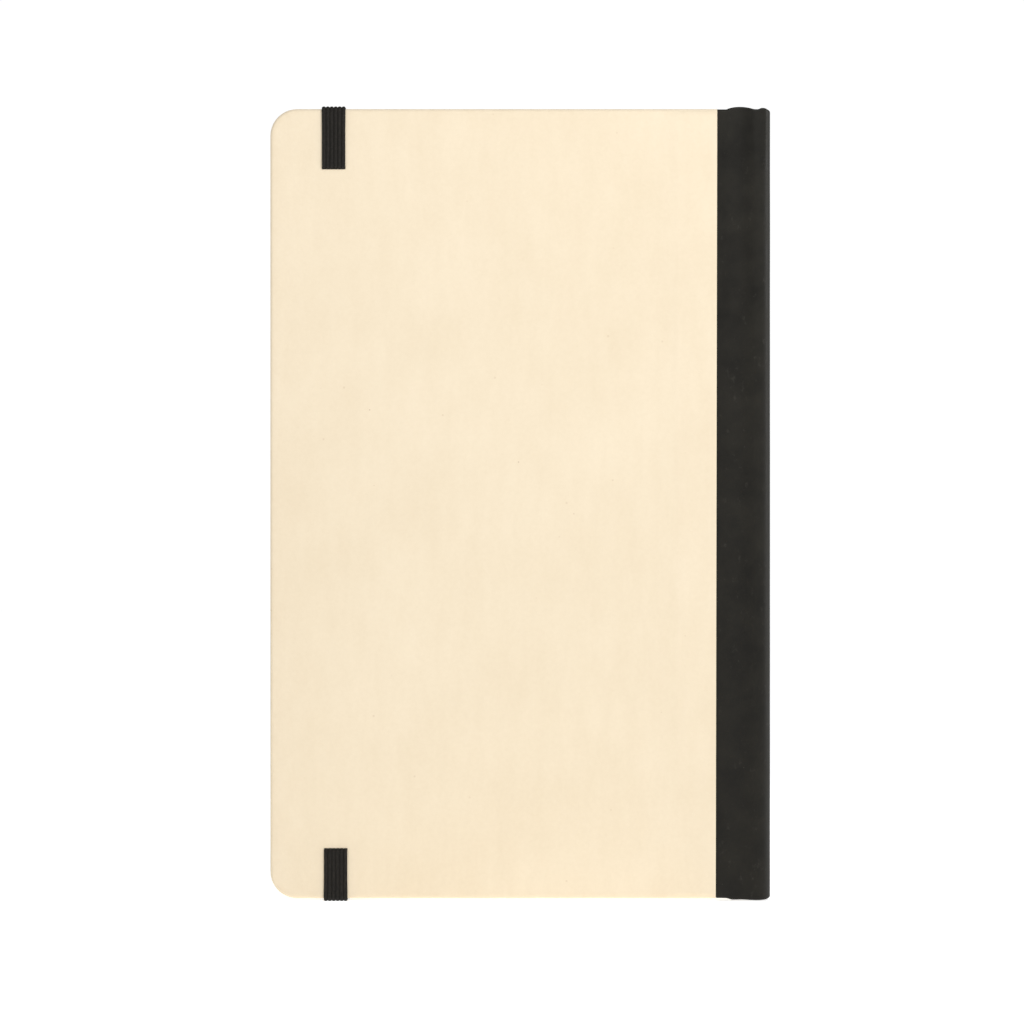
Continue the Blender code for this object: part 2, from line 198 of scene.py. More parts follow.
def arc(centre, radius, start, end, steps):
    """Points on an arc, its angles in degrees."""
    angles = [math.radians(between(start, end, step / steps)) for step in range(steps + 1)]
    return [
        (centre[0] + radius * math.cos(turn), centre[1] + radius * math.sin(turn))
        for turn in angles
    ]


def line_normals(line):
    """The unit normal at each point of a line in a plane, to the left of its direction."""
    normals = []
    for index in range(len(line)):
        ahead = Vector(line[min(index + 1, len(line) - 1)])
        behind = Vector(line[max(index - 1, 0)])
        along = (ahead - behind).normalized()
        normals.append((-along.y, along.x))
    return normals


def rounded_line(corners, radius, steps):
    """An open line with each inner corner replaced by an arc."""
    line = [corners[0]]
    for before, corner, after in zip(corners, corners[1:], corners[2:]):
        corner = Vector(corner)
        into = (Vector(before) - corner).normalized() * radius
        out = (Vector(after) - corner).normalized() * radius
        for step in range(steps + 1):
            turn = math.radians(90) * step / steps
            point = corner + into * (1 - math.sin(turn)) + out * (1 - math.cos(turn))
            line.append(tuple(point))
    line.append(corners[-1])
    return line


def add_piece(name, shape, finish, body=None, stands_for=()):
    """The object of a mesh that is made in place."""
    mesh = bpy.data.meshes.new(name)
    shape.to_mesh(mesh)
    shape.free()
    for each in finish if isinstance(finish, tuple) else (finish,):
        mesh.materials.append(each)
    made = bpy.data.objects.new(name, mesh)
    bpy.context.scene.collection.objects.link(made)
    if stands_for:
        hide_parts(*stands_for)
    if body:
        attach(made, body)
    return made


def settle(piece):
    """Applies the piece's modifiers."""
    bpy.context.view_layer.update()
    evaluated = piece.evaluated_get(bpy.context.evaluated_depsgraph_get())
    mesh = bpy.data.meshes.new_from_object(evaluated)
    piece.modifiers.clear()
    piece.data = mesh


def smooth(piece, angle=40):
    piece.data.shade_smooth()
    piece.data.set_sharp_from_angle(angle=math.radians(angle))


def thicken(piece, thickness):
    """Gives a sheet its thickness, on the side away from its normals."""
    solid = piece.modifiers.new("thickness", "SOLIDIFY")
    solid.thickness = thickness
    solid.offset = -1.0
    solid.use_even_offset = True


def face_outward(shape, probe, side):
    """Turns all faces over if the face at probe doesn't face side * Y."""
    bmesh.ops.recalc_face_normals(shape, faces=shape.faces)
    nearest = min(shape.faces, key=lambda face: (face.calc_center_median() - probe).length)
    nearest.normal_update()
    if nearest.normal.y * side < 0:
        bmesh.ops.reverse_faces(shape, faces=shape.faces)


def divide(shape, axis, places):
    """Cuts every face of a mesh along planes across one axis."""
    for place in places:
        point = Vector((0.0, 0.0, 0.0))
        normal = Vector((0.0, 0.0, 0.0))
        point[axis] = place
        normal[axis] = 1.0
        geometry = shape.verts[:] + shape.edges[:] + shape.faces[:]
        bmesh.ops.bisect_plane(
            shape, geom=geometry, plane_co=point, plane_no=normal, dist=1e-7
        )


# Materials


def add(tree, kind, inputs=None, **settings):
    """A shader node. Inputs that are sockets are linked, and other values are set."""
    made = tree.nodes.new(kind)
    for name, value in settings.items():
        setattr(made, name, value)
    for socket, value in (inputs or {}).items():
        if isinstance(value, bpy.types.NodeSocket):
            tree.links.new(value, made.inputs[socket])
        else:
            made.inputs[socket].default_value = value
    return made


def start_material(name, roughness, **sockets):
    """A material with its tree, its shader and its place on the object in metres."""
    made = bpy.data.materials.new(name)
    made.use_nodes = True
    tree = made.node_tree
    shader = tree.nodes["Principled BSDF"]
    shader.inputs["Roughness"].default_value = roughness
    for socket, value in sockets.items():
        shader.inputs[socket.replace("_", " ")].default_value = value
    place = add(tree, "ShaderNodeTexCoord").outputs["Object"]
    return made, tree, shader, place


def scaled(tree, place, scale):
    node = add(tree, "ShaderNodeMapping", {"Vector": place, "Scale": scale})
    return node.outputs[0]


def noise_of(tree, place, per_metre, detail=2.0, roughness=0.5):
    return add(
        tree,
        "ShaderNodeTexNoise",
        {"Vector": place, "Scale": per_metre, "Detail": detail, "Roughness": roughness},
    ).outputs[0]


def maths(tree, operation, first, second=0.0):
    return add(
        tree, "ShaderNodeMath", {0: first, 1: second}, operation=operation
    ).outputs[0]


def ranged(tree, value, low, high, to_low=0.0, to_high=1.0):
    return add(
        tree,
        "ShaderNodeMapRange",
        {"Value": value, "From Min": low, "From Max": high, "To Min": to_low, "To Max": to_high},
    ).outputs[0]


def mixed(tree, share, first, second):
    """Two colours, each a socket or three numbers, mixed by share."""
    values = {0: share}
    for index, colour in ((6, first), (7, second)):
        is_socket = isinstance(colour, bpy.types.NodeSocket)
        values[index] = colour if is_socket else (*colour, 1.0)
    return add(tree, "ShaderNodeMix", values, data_type="RGBA").outputs[2]


def bumped(tree, height, distance, strength=1.0, below=None):
    inputs = {"Height": height, "Distance": distance, "Strength": strength}
    if below:
        inputs["Normal"] = below
    return add(tree, "ShaderNodeBump", inputs).outputs[0]


def axis_of(tree, place, axis):
    return add(tree, "ShaderNodeSeparateXYZ", {0: place}).outputs[axis]


def specks(tree, place, per_metre, size, rarity):
    """1 on small round specks and 0 elsewhere. One cell in several holds a speck."""
    cells = add(tree, "ShaderNodeTexVoronoi", {"Vector": place, "Scale": per_metre})
    near = ranged(tree, cells.outputs["Distance"], size, 0.4 * size)
    chosen = maths(tree, "GREATER_THAN", axis_of(tree, cells.outputs["Color"], 0), rarity)
    return maths(tree, "MULTIPLY", near, chosen)


def finish_shader(tree, shader, colour, normal):
    tree.links.new(colour, shader.inputs["Base Color"])
    tree.links.new(normal, shader.inputs["Normal"])


def cream_paper():
    """Uncoated cover paper: soft clouds, fibres, rare brown flecks and rubbed edges."""
    made, tree, shader, place = start_material("cream paper", 0.78, Specular_IOR_Level=0.3)
    clouds = noise_of(tree, place, 70.0, 3.0)
    streaks = noise_of(tree, scaled(tree, place, (1.0, 1.0, 0.22)), 420.0, 3.0)
    mottle = noise_of(tree, place, 1500.0, 4.0, 0.6)
    tone = maths(tree, "MULTIPLY_ADD", clouds, 0.45)
    tree.links.new(maths(tree, "MULTIPLY", streaks, 0.3), tone.node.inputs[2])
    tone = maths(tree, "ADD", tone, maths(tree, "MULTIPLY", mottle, 0.35))
    tone = ranged(tree, tone, 0.3, 0.85)
    colour = mixed(tree, tone, *CREAM_SHADES)
    flecks = maths(tree, "MULTIPLY", specks(tree, place, 190.0, 0.030, 0.72), 0.55)
    colour = mixed(tree, flecks, colour, FLECK)
    stains = maths(tree, "MULTIPLY", specks(tree, place, 230.0, 0.06, 0.60), 0.25)
    colour = mixed(tree, stains, colour, STAIN)
    pale = maths(tree, "MULTIPLY", specks(tree, place, 420.0, 0.045, 0.80), 0.25)
    colour = mixed(tree, pale, colour, PALE_FLECK)
    rubbed = add(tree, "ShaderNodeAttribute", attribute_name="wear").outputs["Fac"]
    patches = ranged(tree, noise_of(tree, place, 480.0, 4.0, 0.65), 0.42, 0.62)
    rubbed = maths(tree, "MULTIPLY", maths(tree, "MULTIPLY", rubbed, patches), 0.35)
    colour = mixed(tree, rubbed, colour, RUBBED_CREAM)
    fibres = noise_of(tree, scaled(tree, place, (1.0, 1.0, 0.35)), 5200.0, 3.0, 0.6)
    normal = bumped(tree, mottle, 0.035 * MM, 0.55)
    normal = bumped(tree, fibres, 0.012 * MM, 0.6, normal)
    finish_shader(tree, shader, colour, normal)
    return made


def woven_height(tree, place, threads_per_metre):
    """The relief of a plain weave seen along Y: one set of threads up where the other is down."""
    waves = []
    for axis in (0, 2):
        turn = maths(tree, "MULTIPLY", axis_of(tree, place, axis), math.tau * threads_per_metre)
        waves.append(maths(tree, "SINE", turn))
    return maths(tree, "MULTIPLY_ADD", maths(tree, "MULTIPLY", *waves), 0.5)


def black_cloth():
    """Coated book cloth: a fine grain, pin-head bumps and grey scuffs."""
    made, tree, shader, place = start_material("black cloth", 0.52, Specular_IOR_Level=0.20)
    grain = noise_of(tree, place, 3600.0, 4.0, 0.65)
    weave = woven_height(tree, place, 2600.0)
    clouds = noise_of(tree, place, 160.0, 4.0, 0.6)
    colour = mixed(tree, ranged(tree, clouds, 0.35, 0.7), *CLOTH_SHADES)
    scuffs = noise_of(tree, scaled(tree, place, (1.0, 1.0, 0.7)), 620.0, 6.0, 0.7)
    scuffs = ranged(tree, scuffs, 0.60, 0.78, 0.0, 0.45)
    colour = mixed(tree, scuffs, colour, SCUFF)
    dust = maths(tree, "MULTIPLY", specks(tree, place, 520.0, 0.05, 0.78), 0.45)
    colour = mixed(tree, dust, colour, DUST)
    tree.links.new(ranged(tree, clouds, 0.3, 0.7, 0.44, 0.60), shader.inputs["Roughness"])
    bumps = specks(tree, place, 640.0, 0.30, 0.55)
    normal = bumped(tree, weave, 0.012 * MM, 0.5)
    normal = bumped(tree, grain, 0.03 * MM, 0.8, normal)
    normal = bumped(tree, bumps, 0.04 * MM, 0.6, normal)
    finish_shader(tree, shader, colour, normal)
    return made


def ivory_paper(name, ruled):
    """Smooth writing paper, with faint ruled lines across the leaves if it is ruled."""
    made, tree, shader, place = start_material(name, 0.72, Specular_IOR_Level=0.3)
    clouds = noise_of(tree, place, 120.0, 3.0)
    colour = mixed(tree, clouds, *IVORY_SHADES)
    fibres = noise_of(tree, place, 4200.0, 4.0, 0.6)
    colour = mixed(tree, ranged(tree, fibres, 0.5, 0.8, 0.0, 0.18), colour, IVORY_FIBRE)
    if ruled:
        height = axis_of(tree, place, 2)
        steps = maths(tree, "DIVIDE", maths(tree, "SUBTRACT", height, LINES_START), LINE_PITCH)
        line = maths(tree, "LESS_THAN", maths(tree, "FRACT", steps), LINE_SHARE)
        line = maths(tree, "MULTIPLY", line, maths(tree, "GREATER_THAN", height, LINES_START))
        line = maths(tree, "MULTIPLY", line, maths(tree, "LESS_THAN", height, LINES_END))
        line = maths(tree, "MULTIPLY", line, 0.5)
        colour = mixed(tree, line, colour, RULED_LINE)
    finish_shader(tree, shader, colour, bumped(tree, fibres, 0.008 * MM, 0.6))
    return made


def elastic_weave():
    """Covered rubber: fine crosswise stitches over the ribs that the mesh has."""
    made, tree, shader, place = start_material("elastic", 0.72, Specular_IOR_Level=0.25)
    height = maths(tree, "ADD", axis_of(tree, place, 2), axis_of(tree, place, 1))
    slant = maths(tree, "MULTIPLY", axis_of(tree, place, 0), 0.8)
    stitch = maths(tree, "MULTIPLY", maths(tree, "ADD", height, slant), math.tau * 2900.0)
    stitch = maths(tree, "MULTIPLY_ADD", maths(tree, "SINE", stitch), 0.5)
    fuzz = noise_of(tree, place, 6000.0, 3.0, 0.6)
    colour = mixed(tree, ranged(tree, fuzz, 0.4, 0.75), *ELASTIC_SHADES)
    normal = bumped(tree, stitch, 0.03 * MM, 0.6)
    normal = bumped(tree, fuzz, 0.02 * MM, 0.5, normal)
    finish_shader(tree, shader, colour, normal)
    return made


def grey_board():
    made, tree, shader, place = start_material("greyboard", 0.92, Specular_IOR_Level=0.2)
    pulp = noise_of(tree, place, 900.0, 6.0, 0.7)
    colour = mixed(tree, pulp, *BOARD_SHADES)
    chips = maths(tree, "MULTIPLY", specks(tree, place, 800.0, 0.2, 0.7), 0.5)
    colour = mixed(tree, chips, colour, BOARD_CHIP)
    finish_shader(tree, shader, colour, bumped(tree, pulp, 0.05 * MM, 0.7))
    return made


def brown_paper():
    made, tree, shader, place = start_material("brown paper", 0.86, Specular_IOR_Level=0.2)
    stripes = noise_of(tree, scaled(tree, place, (1.0, 1.0, 0.1)), 1600.0, 4.0, 0.6)
    colour = mixed(tree, stripes, *BROWN_SHADES)
    finish_shader(tree, shader, colour, bumped(tree, stripes, 0.02 * MM, 0.7))
    return made


def gauze():
    """Open cotton gauze: pale threads with glue showing between them."""
    made, tree, shader, place = start_material("gauze", 0.95, Specular_IOR_Level=0.15)
    threads = []
    for axis in (1, 2):
        wave = maths(tree, "MULTIPLY", axis_of(tree, place, axis), math.tau * 900.0)
        threads.append(ranged(tree, maths(tree, "SINE", wave), 0.1, 0.6))
    cover = maths(tree, "MAXIMUM", threads[0], threads[1])
    colour = mixed(tree, cover, *GAUZE_SHADES)
    finish_shader(tree, shader, colour, bumped(tree, cover, 0.1 * MM, 0.8))
    return made


def sewing_thread():
    made, tree, shader, place = start_material("thread", 0.8, Specular_IOR_Level=0.2)
    slant = maths(tree, "ADD", axis_of(tree, place, 1), axis_of(tree, place, 2))
    twist = maths(tree, "SINE", maths(tree, "MULTIPLY", slant, math.tau * 3200.0))
    twist = maths(tree, "MULTIPLY_ADD", twist, 0.5)
    colour = mixed(tree, ranged(tree, twist, -0.5, 0.5), *THREAD_SHADES)
    finish_shader(tree, shader, colour, bumped(tree, twist, 0.05 * MM, 0.7))
    return made


CREAM = cream_paper()
CLOTH_FINISH = black_cloth()
IVORY = ivory_paper("ivory paper", ruled=False)
RULED = ivory_paper("ruled paper", ruled=True)
ELASTIC = elastic_weave()
GREYBOARD = grey_board()
BROWN = brown_paper()
GAUZE = gauze()
THREAD = sewing_thread()


# The covers


def cover_outline(inset):
    """The cover's edge in X and Z, this far in from it, from the cloth round the fore edge."""
    radius = max(COVER_CORNER - inset, 0.3 * MM)
    left = FORE_EDGE + inset + radius
    low = TAIL + inset
    high = HEAD - inset
    outline = [(PAPER_END, low)]
    outline += arc((left, low + radius), radius, 270, 180, CORNER_STEPS)
    outline += arc((left, high - radius), radius, 180, 90, CORNER_STEPS)
    outline.append((PAPER_END, high))
    return outline


def cover_profile():
    """Pairs of inset and depth across the paper, from its turned-in end to the outer face."""
    depth = PAPER_INNER_DEPTH
    profile = [(PAPER_TURN_IN, depth), (4.0 * MM, depth), (1.2 * MM, depth)]
    profile += arc((INNER_ROUND, depth - INNER_ROUND), INNER_ROUND, 90, 180, 4)
    profile += arc((OUTER_ROUND, OUTER_ROUND), OUTER_ROUND, 180, 270, 6)
    profile += [(1.3 * MM, 0.0), (3.0 * MM, 0.0)]
    return profile


def edge_inset(x, z):
    """How far a point of the cover lies in from its edge."""
    corner_x = FORE_EDGE + COVER_CORNER - x
    corner_z = max(TAIL + COVER_CORNER - z, z - HEAD + COVER_CORNER)
    if corner_x > 0 and corner_z > 0:
        return COVER_CORNER - math.hypot(corner_x, corner_z)
    return min(x - FORE_EDGE, z - TAIL, HEAD - z)


def mark_wear(piece):
    """Stores how rubbed each point of a cover is: most at the corners, and some at the edges."""
    marks = piece.data.attributes.new("wear", "FLOAT", "POINT")
    for index, vert in enumerate(piece.data.vertices):
        x, _, z = vert.co
        inset = edge_inset(x, z)
        corner = Vector((FORE_EDGE, TAIL if z < (TAIL + HEAD) / 2 else HEAD))
        near_corner = 1 - smoothstep((Vector((x, z)) - corner).length, 3 * MM, 9 * MM)
        edge = 1 - smoothstep(inset, 0.3 * MM, 1.4 * MM)
        marks.data[index].value = edge * (0.45 + 0.55 * near_corner)


def relief(x, z, side):
    """How far the paper stands off its flat place: a slow wave, and a ridge over the cloth."""
    inset = min(x - FORE_EDGE, z - TAIL, HEAD - z)
    wave = noise.noise(Vector((x * 42, z * 42, 3.0 * side))) * 0.045 * MM
    wave += noise.noise(Vector((x * 160, z * 90, 9.0 * side))) * 0.012 * MM
    ridge = smoothstep(x, HIDDEN_CLOTH_START - 0.5 * MM, HIDDEN_CLOTH_START + 0.5 * MM)
    return smoothstep(inset, 0.6 * MM, 5 * MM) * wave + ridge * RIDGE_HEIGHT


def make_cover_paper(word, side):
    shape = bmesh.new()
    rings = []
    for inset, depth in cover_profile():
        y = side * (OUTER_FACE - depth)
        rings.append([shape.verts.new((x, y, z)) for x, z in cover_outline(inset)])
    for first, second in zip(rings, rings[1:]):
        for index in range(len(first) - 1):
            corners = (first[index], first[index + 1], second[index + 1], second[index])
            shape.faces.new(corners)
    shape.faces.new(rings[-1])
    columns = [between(FORE_EDGE + 6 * MM, PAPER_END - 2 * MM, step / 15) for step in range(16)]
    columns += [HIDDEN_CLOTH_START + shift * MM for shift in (-0.5, 0.0, 0.5)]
    divide(shape, 0, columns)
    divide(shape, 2, [between(TAIL + 6 * MM, HEAD - 6 * MM, step / 26) for step in range(27)])
    face_outward(shape, Vector((0.0, side * OUTER_FACE, (TAIL + HEAD) / 2)), side)
    for vert in shape.verts:
        x, y, z = vert.co
        if abs(y) > OUTER_FACE - 1e-6:
            vert.co.y += side * relief(x, z, side)
        if x > PAPER_END - 1e-6:
            vert.co.x -= between(*PAPER_END_SLIPS, (z - TAIL) / (HEAD - TAIL))
    piece = add_piece(
        f"{word}_cover_paper_wrap", shape, CREAM, stands_for=[f"{word}_cover_paper"]
    )
    thicken(piece, PAPER)
    settle(piece)
    return piece


def cut_slit(piece, height):
    """Cuts the slot that an end of the band goes through."""
    middle = ELASTIC_X + band_drift(height)[0]
    bpy.ops.mesh.primitive_cube_add(size=1.0, location=(middle, -OUTER_FACE, height))
    cutter = bpy.context.object
    cutter.scale = (BAND_WIDTH + SLIT_ROOM, 6 * MM, BAND_THICKNESS + SLIT_ROOM)
    boolean = piece.modifiers.new("slit", "BOOLEAN")
    boolean.operation = "DIFFERENCE"
    boolean.solver = "EXACT"
    boolean.object = cutter
    settle(piece)
    bpy.data.objects.remove(cutter, do_unlink=True)


def make_covers():
    for word, side in (("back", -1), ("front", 1)):
        paper = make_cover_paper(word, side)
        if word == "back":
            for height in (HEAD_SLIT, TAIL_SLIT):
                cut_slit(paper, height)
        smooth(paper)
        mark_wear(paper)
        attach(paper, f"{word}_cover")
        nodes[f"{word}_board"].data.materials.clear()
        nodes[f"{word}_board"].data.materials.append(GREYBOARD)


# The cloth of the spine


def cloth_line(side):
    """The cloth's outer line in X and Y, from under the cover paper to the middle of the spine."""
    flat = OUTER_FACE - CLOTH_DEPTH
    under_paper = (CLOTH_START, *CLOTH_COMES_OUT)
    line = [(x, flat) for x in (*under_paper, between(PAPER_END, BOARD_END, 0.5))]
    arc_x = SPINE_FACE - SPINE_ROUND
    for step in range(JOINT_STEPS):
        share = step / JOINT_STEPS
        dip = JOINT_DIP * math.sin(math.pi * share) ** 2
        line.append((between(BOARD_END, arc_x, share), flat - dip))
    line += arc((arc_x, flat - SPINE_ROUND), SPINE_ROUND, 90, 0, SPINE_STEPS)
    half = flat - SPINE_ROUND
    line += [(SPINE_FACE, half * share) for share in (0.75, 0.5, 0.25, 0.0)]
    return [(x, side * y) for x, y in line]


def turn_in_depth(x, y):
    """How deep the turned-in cloth lies: behind the board, in the joint, then behind the strip."""
    if x < SPINE_FACE - SPINE_ROUND:
        board = CLOTH_INNER_DEPTH - CLOTH_DEPTH
        return between(board, CLOTH_IN_JOINT, smoothstep(x, BOARD_END, BOARD_END + 1.3 * MM))
    flat = OUTER_FACE - CLOTH_DEPTH
    round_the_spine = smoothstep(abs(y), flat - 2.0 * MM, flat - 0.3 * MM)
    return between(CLOTH_BEHIND_STRIP, CLOTH_IN_JOINT, round_the_spine)


def edge_rises(x, y):
    """How far the cloth stands past the cover paper at the head and at the tail, at this place."""
    arch = HEAD_ARCH * bell(x, BOARD_END, BOARD_END + 4.8 * MM)
    round_the_spine = smoothstep(abs(y), OUTER_FACE - CLOTH_DEPTH - SPINE_ROUND, OUTER_FACE)
    bump = HEAD_BUMP * bell(x, SPINE_FACE - 2.1 * MM, SPINE_FACE - 0.05 * MM) * round_the_spine
    tail = TAIL_SAG[0] * smoothstep(x, BOARD_END - 0.3 * MM, BOARD_END + 1.2 * MM)
    tail += TAIL_SAG[1] * bell(x, BOARD_END + 3 * MM, SPINE_FACE)
    tail *= 0.35 + 0.65 * round_the_spine
    under_paper = (PAPER + 0.04 * MM) * (1 - smoothstep(x, *CLOTH_COMES_OUT))
    return arch + bump - under_paper, tail - under_paper


def cloth_rows(depth, head_rise, tail_rise):
    """Pairs of inward distance and height: a turned-in end, the outer face, the other end."""
    round_steps = 10
    roundness = min(0.55 * MM, 0.5 * depth + 0.2 * MM)
    over = []
    for step in range(round_steps + 1):
        turn = math.pi * step / round_steps
        across = math.copysign(abs(math.cos(turn)) ** 0.8, math.cos(turn))
        rise = math.sin(turn) ** 0.8 if 0 < step < round_steps else 0.0
        over.append((depth / 2 * (1 + across), roundness * (rise - 1)))
    head = HEAD + head_rise
    tail = TAIL - tail_rise
    rows = [(depth, HEAD - CLOTH_TURN_IN), (depth, HEAD - 2.5 * MM)]
    rows += [(inward, head + up) for inward, up in over]
    top = head - roundness
    bottom = tail + roundness
    rows += [(0.0, between(top, bottom, step / 40)) for step in range(1, 40)]
    rows += [(inward, tail - up) for inward, up in reversed(over)]
    rows += [(depth, TAIL + 2.5 * MM), (depth, TAIL + CLOTH_TURN_IN)]
    return rows


def cloth_relief(x, z):
    """The cloth's slow unevenness, and the crease by the spine that is deepest at the head."""
    wave = noise.noise(Vector((x * 260, z * 70, 5.0))) * 0.022 * MM
    crease = bell(x, SPINE_FACE - 2.8 * MM, SPINE_FACE - 0.9 * MM)
    near_head = smoothstep(z, HEAD - 11 * MM, HEAD - 2 * MM)
    return wave - crease * (CREASE[0] + CREASE[1] * near_head)


def make_spine_cloth():
    """One length of cloth for each cover. They meet at the middle of the spine."""
    for word, side in (("back", -1), ("front", 1)):
        shape = bmesh.new()
        line = cloth_line(side)
        columns = []
        for (x, y), normal in zip(line, line_normals(line)):
            out = Vector((normal[0], normal[1], 0.0)) * side
            if x > SPINE_FACE - 1e-6:
                out = Vector((1.0, 0.0, 0.0))
            rises = edge_rises(x, y)
            column = []
            depth = turn_in_depth(x, y)
            for inward, z in cloth_rows(depth, *rises):
                lift = cloth_relief(x, z) * (1 - smoothstep(inward, 0.0, depth))
                column.append(shape.verts.new(Vector((x, y, z)) + out * (lift - inward)))
            columns.append(column)
        for first, second in zip(columns, columns[1:]):
            for index in range(len(first) - 1):
                corners = (first[index], first[index + 1], second[index + 1], second[index])
                shape.faces.new(corners)
        face_outward(shape, Vector((BOARD_END, side * OUTER_FACE, (TAIL + HEAD) / 2)), side)
        replaced = [f"tape_on_{word}_board", f"{word}_joint_cloth"]
        if word == "back":
            replaced.append("tape_on_spine")
        cloth = add_piece(
            f"{word}_spine_cloth", shape, CLOTH_FINISH, stands_for=replaced
        )
        thicken(cloth, CLOTH)
        settle(cloth)
        smooth(cloth, 60)
        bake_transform(cloth)


# Pages and endpapers


def corner_stations(left):
    """Pairs of X and the height lost there, along a page's rounded corners."""
    stations = []
    for step in range(7):
        turn = math.radians(90 * step / 6)
        stations.append(
            (left + PAGE_CORNER * (1 - math.cos(turn)), PAGE_CORNER * (1 - math.sin(turn)))
        )
    return stations


def add_strip(shape, columns, thickness):
    """A thin closed sheet. Each column has a place in X and Y, a normal and its two ends in Z.

    Its rims take the piece's second material."""
    rings = []
    for (x, y), (across, up), low, high in columns:
        reach = thickness / 2
        front = (x + across * reach, y + up * reach)
        back = (x - across * reach, y - up * reach)
        places = ((*front, low), (*front, high), (*back, high), (*back, low))
        rings.append([shape.verts.new(place) for place in places])
    for first, second in zip(rings, rings[1:]):
        for index in range(4):
            other = (index + 1) % 4
            face = shape.faces.new((first[index], first[other], second[other], second[index]))
            face.material_index = index % 2
    shape.faces.new(rings[0]).material_index = 1
    shape.faces.new(rings[-1]).material_index = 1


def bend_places(bend, end):
    """Places along X where a turning sheet needs columns, up to its end at the spine."""
    start = bend - BEND_REACH[1]
    finish = min(bend + BEND_REACH[0], end)
    return [between(start, finish, step / 12) for step in range(13)]


def add_bifolium(shape, upper, lower, bend):
    """A sheet folded once at the spine, which makes two leaves at these heights in Y."""
    radius = (upper - lower) / 2
    turn_x = FOLD_EDGE - radius - LEAF / 2
    middle = (upper + lower) / 2
    left = PAGE_EDGE + picks.uniform(-0.05, 0.05) * MM
    low = PAGE_TAIL + picks.uniform(-0.03, 0.03) * MM
    high = PAGE_HEAD + picks.uniform(-0.03, 0.03) * MM
    flat = corner_stations(left)
    flat += [(x, 0.0) for x in (0.0, bend - 6 * MM)]
    flat += [(x, 0.0) for x in bend_places(bend, turn_x) if x < turn_x - 0.02 * MM]
    columns = [((x, upper), (0, 1), low + lost, high - lost) for x, lost in flat]
    for x, y in arc((turn_x, middle), radius, 90, -90, 6):
        normal = ((x - turn_x) / radius, (y - middle) / radius)
        columns.append(((x, y), normal, low, high))
    columns += [((x, lower), (0, -1), low + lost, high - lost) for x, lost in reversed(flat)]
    add_strip(shape, columns, LEAF)


def make_section(number):
    """Four folded sheets, one inside the other, which make a section's eight leaves."""
    moving = number <= MOVING_SECTIONS
    word = f"section_{number:02d}"
    sources = [f"{word}_leaves", f"{word}_fold"] if moving else [word]
    low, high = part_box(sources[0])
    pitch = (high.y - low.y) / LEAVES_IN_SECTION
    bend = hinges[f"{word}_turn"]["pos_m"][0] if moving else FOLD_EDGE - 3 * MM
    shape = bmesh.new()
    for sheet in range(LEAVES_IN_SECTION // 2):
        upper = high.y - pitch * (sheet + 0.5)
        lower = low.y + pitch * (sheet + 0.5)
        add_bifolium(shape, upper, lower, bend)
    bmesh.ops.recalc_face_normals(shape, faces=shape.faces)
    if not moving:
        section = add_piece(
            f"{word}_sheets", shape, (RULED, IVORY), "text_block", sources
        )
        smooth(section)
        return
    section = add_piece(
        f"{word}_sheets", shape, (RULED, IVORY), stands_for=sources
    )
    smooth(section)
    blend_at_bend(section)


def blend_at_bend(piece):
    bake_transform(piece)


def make_flyleaf(word):
    low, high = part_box(f"{word}_flyleaf")
    bend = hinges[f"{word}_flyleaf_turn"]["pos_m"][0]
    stations = corner_stations(PAGE_EDGE)
    stations += [(x, 0.0) for x in [0.0, bend - 6 * MM, *bend_places(bend, FOLD_EDGE)]]
    stations.append((FOLD_EDGE, 0.0))
    y = (low.y + high.y) / 2
    columns = [((x, y), (0, 1), PAGE_TAIL + lost, PAGE_HEAD - lost) for x, lost in stations]
    shape = bmesh.new()
    add_strip(shape, columns, high.y - low.y)
    bmesh.ops.recalc_face_normals(shape, faces=shape.faces)
    sources = [f"{word}_flyleaf", f"{word}_flyleaf_fold"]
    flyleaf = add_piece(
        f"{word}_flyleaf_sheet", shape, (IVORY, IVORY), stands_for=sources
    )
    smooth(flyleaf)
    blend_at_bend(flyleaf)


def endpaper_line(hinge_x, hinge_y):
    """The endpaper's line in X and depth in Y: flat on the board, into the joint, to the fold.

    It passes close to the hinge's axis.
    """
    flat = PASTEDOWN_FACE + ENDPAPER / 2
    deep = hinge_y - 0.2 * MM
    down_start = BOARD_END + 0.2 * MM
    down_end = down_start + 1.8 * MM
    up_start = hinge_x - 0.3 * MM
    up_end = hinge_x + 0.35 * MM
    line = []
    for step in range(13):
        share = step / 12
        depth = between(flat, deep, smoothstep(share, 0.0, 1.0))
        line.append((between(down_start, down_end, share), depth))
    line += [(between(down_end, up_start, step / 8), deep) for step in range(1, 9)]
    for step in range(1, 9):
        share = step / 8
        depth = between(deep, flat, smoothstep(share, 0.0, 1.0))
        line.append((between(up_start, up_end, share), depth))
    line.append((FOLD_EDGE - 0.3 * MM, flat))
    return line


